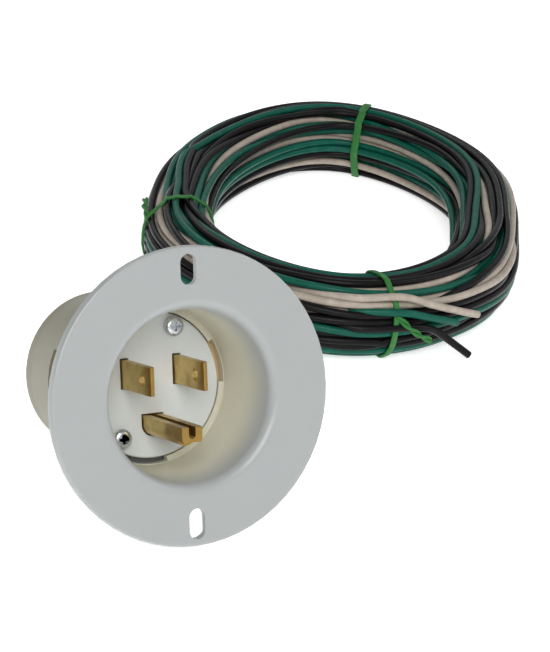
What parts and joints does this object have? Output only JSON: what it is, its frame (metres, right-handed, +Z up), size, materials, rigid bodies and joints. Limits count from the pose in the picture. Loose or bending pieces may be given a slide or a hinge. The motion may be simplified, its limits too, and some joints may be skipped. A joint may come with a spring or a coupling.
{
  "type": "flanged power inlet",
  "caption": "Round flanged power inlet with two flat blades and a U-shaped ground pin in a deep cup, with its pre-wired leads in a tied coil.",
  "frame": {"origin": "bottom centre of the inlet's own box, on the surface the inlet lies on", "axes": "+X across the flange, to the right seen from in front; the cup's mouth faces -Y and is tilted up by 16.6 degrees; +Z up"},
  "size_m": [0.2085, 0.2297, 0.0632],
  "materials": {
    "flange_nylon": "satin moulded white nylon",
    "carrier_nylon": "satin moulded white nylon",
    "body_nylon": "satin moulded beige nylon",
    "blade_brass": "stamped, slightly tarnished",
    "screw_brass": "machined",
    "zinc": "zinc plated",
    "screw_green": "green dyed plating",
    "copper": "bare stranded copper",
    "wire_black": "smooth extruded insulation",
    "wire_white": "smooth extruded insulation",
    "wire_green": "smooth extruded insulation",
    "tie_green": "soft coated wire"
  },
  "bodies": {
    "housing": {"flange_housing": "flange_nylon", "contact_carrier": "carrier_nylon", "rear_body": "body_nylon", "rear_cover": "body_nylon", "assembly_screw_upper": "zinc", "assembly_screw_lower": "zinc", "assembly_nut_upper": "zinc", "assembly_nut_lower": "zinc", "hot_blade": "blade_brass", "neutral_blade": "blade_brass", "ground_pin": "blade_brass", "hot_conductor_end": "copper", "neutral_conductor_end": "copper", "ground_conductor_end": "copper", "black_lead": "wire_black", "white_lead": "wire_white", "green_lead": "wire_green", "wire_coil": "wire_black", "black_tail": "wire_black", "white_tail": "wire_white", "green_tail": "wire_green", "coil_tie_back": "tie_green", "coil_tie_left": "tie_green", "coil_tie_front": "tie_green"},
    "hot_screw": {"hot_terminal_screw": "screw_brass"},
    "hot_clamp": {"hot_clamp_plate": "screw_brass"},
    "neutral_screw": {"neutral_terminal_screw": "zinc"},
    "neutral_clamp": {"neutral_clamp_plate": "screw_brass"},
    "ground_screw": {"ground_terminal_screw": "screw_green"},
    "ground_clamp": {"ground_clamp_plate": "screw_brass"}
  },
  "joints": [
    {"name": "hot_screw_turn", "type": "hinge", "parent": "housing", "child": "hot_screw", "pos_m": [-0.015, 0.00853, 0.02599], "axis": [-1, 0, 0], "range_deg": [0, 900]},
    {"name": "hot_clamp_travel", "type": "slide", "parent": "housing", "child": "hot_clamp", "axis": [1, 0, 0], "range_m": [0, 0.00198]},
    {"name": "neutral_screw_turn", "type": "hinge", "parent": "housing", "child": "neutral_screw", "pos_m": [0.015, 0.00853, 0.02599], "axis": [1, 0, 0], "range_deg": [0, 900]},
    {"name": "neutral_clamp_travel", "type": "slide", "parent": "housing", "child": "neutral_clamp", "axis": [-1, 0, 0], "range_m": [0, 0.00198]},
    {"name": "ground_screw_turn", "type": "hinge", "parent": "housing", "child": "ground_screw", "pos_m": [0, 0.00336, 0.00864], "axis": [0, -0.2855, -0.9584], "range_deg": [0, 900]},
    {"name": "ground_clamp_travel", "type": "slide", "parent": "housing", "child": "ground_clamp", "axis": [0, 0.2855, 0.9584], "range_m": [0, 0.00198]}
  ],
  "couplings": [
    {"joint": "hot_screw_turn", "follows": "hot_clamp_travel", "rad_per_m": 7915.8},
    {"joint": "neutral_screw_turn", "follows": "neutral_clamp_travel", "rad_per_m": 7915.8},
    {"joint": "ground_screw_turn", "follows": "ground_clamp_travel", "rad_per_m": 7915.8}
  ]
}
